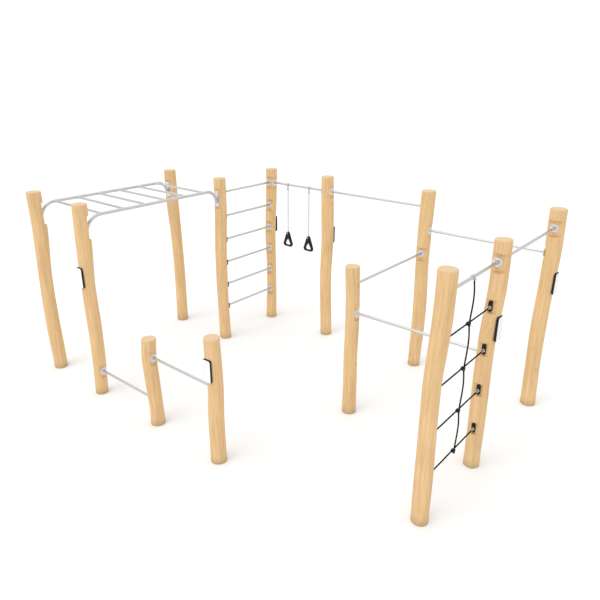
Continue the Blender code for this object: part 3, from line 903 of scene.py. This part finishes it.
def make_overhead_ladder(metal, plate_metal, bright):
    for node in RAILS:
        low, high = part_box(node)
        x = (low.x + high.x) / 2
        top = high.z - RAIL_RADIUS
        stand_off = PLATE_THICKNESS + RAIL_RADIUS - 0.001
        route = rail_route(x, low.y + stand_off, high.y - stand_off, top)
        shapes = [sweep(route, wire(RAIL_RADIUS, 36))]
        plates, screws = [], []
        plate_z = low.z + RAIL_PLATE[1] / 2
        for y, side, bend in ((low.y, AXES[1], RAIL_BENDS[0]), (high.y, -AXES[1], RAIL_BENDS[1])):
            place = facing(side, (x, y, plate_z))
            plates.append(placed(slab(*RAIL_PLATE, 0, PLATE_THICKNESS, PLATE_CORNER), place))
            screws += [placed(s, place) for s in plate_screws(*RAIL_SCREWS, PLATE_THICKNESS, 1)]
            # Two welds hold the tube to its plate.
            for beside in (-1, 1):
                heights = np.linspace(top - bend - 0.008, top - 0.7 * bend, 12)
                seam = [(beside * 0.011, z - plate_z, PLATE_THICKNESS) for z in heights]
                seam = [place @ Vector(point) for point in seam]
                shapes.append(sweep(seam, seam_bead))
        piece(node + "_tube", shapes, metal, replaces=[node])
        piece(node + "_plates", plates, plate_metal)
        piece(node + "_screws", screws, bright)
    for node in RUNGS:
        axis, middle, half = long_axis(node)
        rung = placed(mirrored_lathe(rung_profile(half)), facing(axis, middle))
        piece(node + "_tube", [rung], metal, replaces=[node])


# -------- signs


def make_signs(black, white, grey, bright):
    for node in SIGNS:
        low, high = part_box(node)
        side = sign_side(node)
        size = high - low
        width = size.y if abs(side.x) > 0.5 else size.x
        tall, thick = size.z, abs(size.dot(side))
        place = facing(side, middle_of(node))
        front = thick / 2
        inside, corner = (width - SIGN_RIM, tall - SIGN_RIM), SIGN_CORNER - SIGN_RIM / 2
        face = slab(*inside, front - 0.0022, front - 0.0006, corner, 0.0005, 2)
        board = slab(width, tall, -front, front - 0.0016, SIGN_CORNER, 0.003)
        piece(node + "_board", [placed(board, place)], black, replaces=[node])
        piece(node + "_face", [placed(face, place)], white)
        marks = [placed(s, place @ at(0, 0, front - SIGN_INSET)) for s in sign_marks(width, tall)]
        piece(node + "_marks", marks, grey)
        screws = []
        for y in (-tall / 2 + SIGN_SCREW, tall / 2 - SIGN_SCREW):
            screws.append(placed(screw(0.006, 0.003), place @ at(0, y, front - SIGN_INSET)))
        piece(node + "_screws", screws, bright)


def mark(x, y, width, tall, corner):
    return placed(slab(width, tall, 0, 0.0006, corner, 0.0002, 1), at(x, y, 0))


def sign_marks(width, tall):
    """A plain made-up layout: a title bar, three round diagrams with captions as bars, and a dot."""
    shapes = [mark(-0.006, tall / 2 - 0.045, width * 0.5, 0.007, 0.002)]
    for row in range(3):
        y = tall * (0.16 - 0.19 * row)
        disc = lathe(edged(0.013, 0, 0.0006, 0.0002, 1), 24)
        shapes.append(placed(disc, at(-width * 0.22, y, 0)))
        for line in range(3):
            long = width * (0.36, 0.30, 0.22)[line]
            shapes.append(mark(width * 0.02 + long / 2, y + 0.010 - 0.010 * line, long, 0.003, 0.001))
    shapes.append(mark(width * 0.2, -tall / 2 + 0.042, 0.018, 0.010, 0.003))
    return shapes


# -------- trapeze handles


def turned(direction):
    """Local Z along any direction."""
    return direction.to_track_quat("Z", "Y").to_matrix().to_4x4()


ACROSS, ALONG_Y = turned(AXES[0]), turned(AXES[1])


def joint_axes(number):
    """Where the swing, sway and tilt axes of a handle pass, from the frame's joints."""
    places = {joint["name"]: Vector(joint["pos_m"]) for joint in frame["joints"]}
    return [places[f"{kind}_{number}"] for kind in ("swing", "sway", "tilt")]


def link_route(length, width, steps=7):
    """The centre line of a chain link in X and Z, about its middle."""
    radius = width / 2
    straight = length / 2 - radius
    route = []
    for way in (1, -1):
        for step in range(steps + 1):
            turn = math.pi * step / steps
            x, z = radius * math.cos(turn), straight + radius * math.sin(turn)
            route.append(Vector((way * x, 0, way * z)))
    return route


def handle_loop():
    """The moulded handle: a closed loft of sections round its grip opening."""
    # Each corner is an arc: its middle in X and Z, its radius, its start and its end.
    outer = (
        (0, 0, HANDLE_BOLT_DROP, 165, 15),
        (0.052, -0.180, 0.046, 15, -80),
        (-0.052, -0.180, 0.046, -100, -195),
    )
    inner = (
        (0, -0.108, 0.018, 155, 25),
        (0.031, -0.173, 0.023, 20, -85),
        (-0.031, -0.173, 0.023, -95, -200),
    )
    steps, thick, edge = 12, 0.034, 0.009
    lines = []
    for corners in (outer, inner):
        line = []
        for x, z, radius, start, end in corners:
            for step in range(steps + 1):
                turn = math.radians(start + (end - start) * step / steps)
                line.append(Vector((x + radius * math.cos(turn), 0, z + radius * math.sin(turn))))
        lines.append(line)
    rings = []
    for outside, inside in zip(*lines):
        across = (outside - inside).normalized()
        middle, wide = (outside + inside) / 2, (outside - inside).length
        # Where the handle is narrow, its edges are rounded less.
        outline = round_rectangle(wide, thick, min(edge, wide * 0.32), 4)
        rings.append([middle + across * x + AXES[1] * y for x, y in outline])
    return loft(rings, closed=True)


def make_trapeze(metal, chain_steel, black, bright):
    for number in (1, 2):
        swing, sway, tilt = joint_axes(number)
        bar_z = middle_of("bar_trapeze").z
        node, body = f"hanger_clamp_{number}", f"handle_{number}"
        low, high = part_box(node)
        bar = Vector((swing.x, swing.y, bar_z))
        band = placed(clamp_band(high.x - low.x, HANGER_RADIUS), at(*bar) @ ACROSS)
        lug = placed(eye_plate(bar_z - swing.z), at(*bar))
        piece(node + "_body", [band, lug], metal, replaces=[node])
        ears = []
        for way in (-1, 1):
            place = at(bar.x, bar.y + way * 0.0275, bar.z) @ turned(Vector((0, way, 0)))
            ears.append(placed(screw(0.006, 0.004), place))
        piece(node + "_screws", ears, bright)
        make_yoke(number, swing, sway, metal, bright)
        make_chain(number, sway, tilt, chain_steel, bright)
        handle = placed(handle_loop(), at(*tilt))
        boss = lathe(edged(0.0135, -0.0178, 0.0178, 0.002), 28)
        eye = placed(boss, at(*tilt) @ ALONG_Y)
        piece(body + "_grip", [handle, eye], black, body, [body])


def clamp_band(wide, outer):
    """A band about Z that grips the bar, with rounded rims."""
    inner, half = BAR_RADIUS + GAP, wide / 2
    outside = edged(outer, -half, half, 0.003)
    return loft([circle(r, 40, z) for r, z in outside + [(inner, half), (inner, -half)]], closed=True)


def eye_plate(drop):
    """The clamp's lug: a round-ended plate across X, from the bar down past the pin."""
    half_width, thick = 0.013, 0.010
    outline = [Vector((half_width, 0, -0.018)), Vector((-half_width, 0, -0.018))]
    for step in range(13):
        turn = math.pi + math.pi * step / 12
        outline.append(Vector((half_width * math.cos(turn), 0, -drop + half_width * math.sin(turn))))
    rings = []
    for inset, x in edged(0, -thick / 2, thick / 2, 0.0015, 2):
        centre = Vector((0, 0, -drop / 2))
        rings.append([Vector((x, *(centre + (p - centre) * (1 + inset / 0.03)).xz)) for p in outline])
    return loft(rings)


def make_yoke(number, swing, sway, metal, bright):
    shapes = []
    drop = swing.z - sway.z
    cheek_x = 0.0081
    for way in (-1, 1):
        cheek = round_rectangle(0.020, drop - 0.004, 0.0095, 6)
        rings = []
        for inset, x in edged(0, -0.0025, 0.0025, 0.0008, 2):
            scale = 1 + inset / 0.012
            rings.append([Vector((x, a * scale, b * scale)) for a, b in cheek])
        shapes.append(placed(loft(rings), at(way * cheek_x, 0, -(drop - 0.004) / 2 + 0.009)))
    bridge = slab(2 * cheek_x, 0.018, -0.004, 0.004, 0.003, 0.001)
    shapes.append(placed(bridge, at(0, 0, -drop + 0.020)))
    # The swivel eye under the bridge holds the first link.
    stem = lathe([(0.0055, -drop + 0.016), (0.0062, -drop + 0.013), (0.0045, -drop + 0.011)], 20)
    turns = np.linspace(0, math.tau, 25)[:-1]
    ring = [Vector((SWIVEL_RADIUS * math.cos(a), 0, SWIVEL_RADIUS * math.sin(a))) for a in turns]
    shapes += [stem, placed(sweep(ring, wire(0.0032), closed=True), at(0, 0, -drop + 0.0062))]
    node, body = f"hanger_yoke_{number}", f"yoke_{number}"
    shapes = [placed(shape, at(*swing)) for shape in shapes]
    piece(node + "_body", shapes, metal, body, [node])
    shaft = lathe(edged(0.005, -0.0135, 0.0135, 0.0006, 2), 20)
    nut = lathe(edged(0.0085, 0.0108, 0.0150, 0.001, 2), 6)
    head = lathe(edged(0.0085, -0.0150, -0.0108, 0.001, 2), 20)
    pin = [placed(shape, at(*swing) @ ACROSS) for shape in (shaft, nut, head)]
    piece(node + "_pin", pin, bright, body)


def make_chain(number, sway, tilt, chain_steel, bright):
    body = f"chain_{number}"
    bow_z = tilt.z + SHACKLE_RISE
    span = sway.z - bow_z + 0.002
    count = round(span / CHAIN_PITCH)
    pitch = span / count
    shapes = []
    for index in range(count):
        route = link_route(pitch + 2 * CHAIN_WIRE - 0.0006, CHAIN_WIDTH - 2 * CHAIN_WIRE)
        turn = Matrix.Rotation(math.pi / 2 * ((index + 1) % 2), 4, "Z")
        place = at(sway.x, sway.y, sway.z + 0.0005 - pitch * (index + 0.5)) @ turn
        shapes.append(placed(sweep(route, wire(CHAIN_WIRE, 10), closed=True), place))
    piece(body + "_links", shapes, chain_steel, body, [body])
    half, wire_radius = SHACKLE_WIDTH / 2, 0.0042
    bow = [Vector((0, half, 0)), Vector((0, half, 0.012)), Vector((0, half, 0.022))]
    for step in range(1, 12):
        turn = math.pi * step / 12
        rise = 0.022 + (SHACKLE_RISE - 0.022) * math.sin(turn)
        bow.append(Vector((0, half * math.cos(turn), rise)))
    bow += [Vector((0, -point.y, point.z)) for point in reversed(bow[:3])]
    fittings = [placed(sweep(bow, wire(wire_radius, 14)), at(*tilt))]
    bolt_place = at(*tilt) @ ALONG_Y
    # The bolt's shaft, the bow's two eyes, its nut and its head
    for low, high, radius, sides in (
        (-0.0275, 0.0265, 0.0045, 20),
        (0.0180, 0.0262, 0.0078, 24),
        (-0.0262, -0.0180, 0.0078, 24),
        (0.0262, 0.0305, 0.0070, 6),
        (-0.0290, -0.0262, 0.0070, 20),
    ):
        fittings.append(placed(lathe(edged(radius, low, high, 0.0007, 2), sides), bolt_place))
    piece(body + "_shackle", fittings, bright, body)


# -------- climbing net


def laid_rope(distance):
    """A six-strand rope's section, which turns as it goes."""
    strands, sides, lay = 6, 24, 0.085
    twist = math.tau * distance / lay
    section = []
    for step in range(sides):
        turn = math.tau * step / sides
        groove = abs(math.cos(strands / 2 * (turn - twist)))
        reach = ROPE_RADIUS * (0.90 + 0.10 * groove**0.6)
        section.append((reach * math.cos(turn), reach * math.sin(turn)))
    return section


def even_route(points, step=0.005):
    """Points at even steps along a smooth curve through a route's own points."""
    lengths = [0.0]
    for before, after in zip(points, points[1:]):
        lengths.append(lengths[-1] + (after - before).length)
    count = max(2, round(lengths[-1] / step))
    route, index = [], 0
    for i in range(count + 1):
        distance = lengths[-1] * i / count
        while index < len(points) - 2 and lengths[index + 1] < distance:
            index += 1
        share = (distance - lengths[index]) / (lengths[index + 1] - lengths[index])
        route.append(smooth(points, index + min(share, 1.0)))
    return route


def upright_route():
    """The hanging rope's line: from the bar down to the lowest clamp, bulging between the clamps."""
    low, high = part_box("net_rope_upright")
    x, y = middle_of("net_rope_upright").x, middle_of("net_clamp_1").y
    knots = [high.z] + [middle_of(f"net_clamp_{number}").z for number in (1, 2, 3, 4)]
    points = [Vector((x, y, knots[0]))]
    for upper, lower in zip(knots, knots[1:]):
        top = upper - ROPE_STRAIGHT
        drop = top - lower - ROPE_STRAIGHT
        for step in range(9):
            share = step / 8
            bulge = ROPE_BULGE * math.sin(math.pi * share**0.8) ** 1.3
            points.append(Vector((x, y + bulge, top - drop * share)))
    points.append(Vector((x, y, low.z)))
    return points


def make_net(rope_material, black, metal, bright):
    for node in LEVEL_ROPES:
        low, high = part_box(node)
        axis, middle, half = long_axis(node)
        anchor_z = high.z - ANCHOR_SIZE[1] / 2
        rope_z = anchor_z - 0.012
        x = middle.x
        inner = half - ANCHOR_THICKNESS
        start, end = (Vector((x, middle.y + way * inner, rope_z)) for way in (-1, 1))
        route = even_route([start, start.lerp(end, 0.5), end])
        piece(node + "_rope", [sweep(route, laid_rope)], rope_material, replaces=[node])
        anchors, fittings = [], []
        for way in (-1, 1):
            side = -way * axis
            place = facing(side, (x, middle.y + way * half, anchor_z))
            anchors.append(placed(slab(*ANCHOR_SIZE, 0, ANCHOR_THICKNESS, 0.0228, 0.004), place))
            rope_place = facing(side, (x, middle.y + way * half, rope_z))
            ferrule = [(0.0135, 0.0155), (0.0138, 0.019), (0.0122, 0.0205), (0.0118, 0.024)]
            ferrule += [(0.0115, 0.056), (0.0108, 0.062), (0.0092, 0.066), (0.0082, 0.066)]
            fittings.append(placed(lathe(ferrule, 28), rope_place))
            collar = lathe(edged(0.0170, 0.0150, 0.0185, 0.001, 2), 28)
            fittings.append(placed(collar, rope_place))
            for y in (-0.048, 0.042):
                anchors.append(placed(screw(0.0065, 0.0035), place @ at(0, y, ANCHOR_THICKNESS)))
        piece(node + "_anchors", anchors, black)
        piece(node + "_ferrules", fittings, bright)
    upright = sweep(even_route(upright_route()), laid_rope)
    piece("net_rope_upright_rope", [upright], rope_material, replaces=["net_rope_upright"])
    upright_x = upright_route()[0].x
    level_x = middle_of(LEVEL_ROPES[0]).x
    for number in (1, 2, 3, 4):
        node = f"net_clamp_{number}"
        centre = middle_of(node)
        body = lathe(edged(0.0205, -0.0215, 0.0215, 0.009, 4), 32)
        shapes = [placed(body, at(*centre) @ ACROSS)]
        collar = edged(0.0128, -0.027, 0.027, 0.003)
        shapes.append(placed(lathe(collar, 28), at(level_x, centre.y, centre.z) @ ALONG_Y))
        shapes.append(placed(lathe(collar, 28), at(upright_x, centre.y, centre.z)))
        piece(node + "_body", shapes, black, replaces=[node])
        ends = []
        for way in (-1, 1):
            place = at(centre.x + way * 0.0212, centre.y, centre.z) @ turned(Vector((way, 0, 0)))
            ends.append(placed(screw(0.0058, 0.003), place))
        piece(node + "_screws", ends, bright)
    low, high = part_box("net_top_clamp")
    bar = Vector((level_x, (low.y + high.y) / 2, high.z - TOP_CLAMP_RADIUS))
    band = placed(clamp_band(high.y - low.y, TOP_CLAMP_RADIUS), at(*bar) @ ALONG_Y)
    stub_place = at((bar.x + upright_x) / 2, bar.y, bar.z - 0.0215)
    stub = placed(slab(0.05, 0.022, -0.006, 0.006, 0.004, 0.0015), stub_place)
    piece("net_top_clamp_band", [band, stub], metal, replaces=["net_top_clamp"])


# -------- the whole

make_camera()
make_light()
make_floor()
wood = robinia()
metal = steel("satin_steel", (0.60, 0.60, 0.60), 0.30, 0.42)
plate_metal = steel("plate_steel", (0.82, 0.81, 0.81), 0.34, 0.46)
bright = steel("bright_steel", (0.66, 0.66, 0.66), 0.20, 0.32)
chain_steel = steel("chain_steel", (0.46, 0.46, 0.47), 0.28, 0.42, 120.0)
black = plastic("black_plastic", (0.008, 0.008, 0.008), 0.42, 0.58, 900.0, 0.25)
grey = plastic("grey_print", (0.60, 0.60, 0.61), 0.35, 0.5, 600.0, 0.05)
white = board_face()
rope_material = rope()
make_posts(wood)
make_bars(metal, plate_metal, black, bright)
make_overhead_ladder(metal, plate_metal, bright)
make_signs(black, white, grey, bright)
make_trapeze(metal, chain_steel, black, bright)
make_net(rope_material, black, metal, bright)
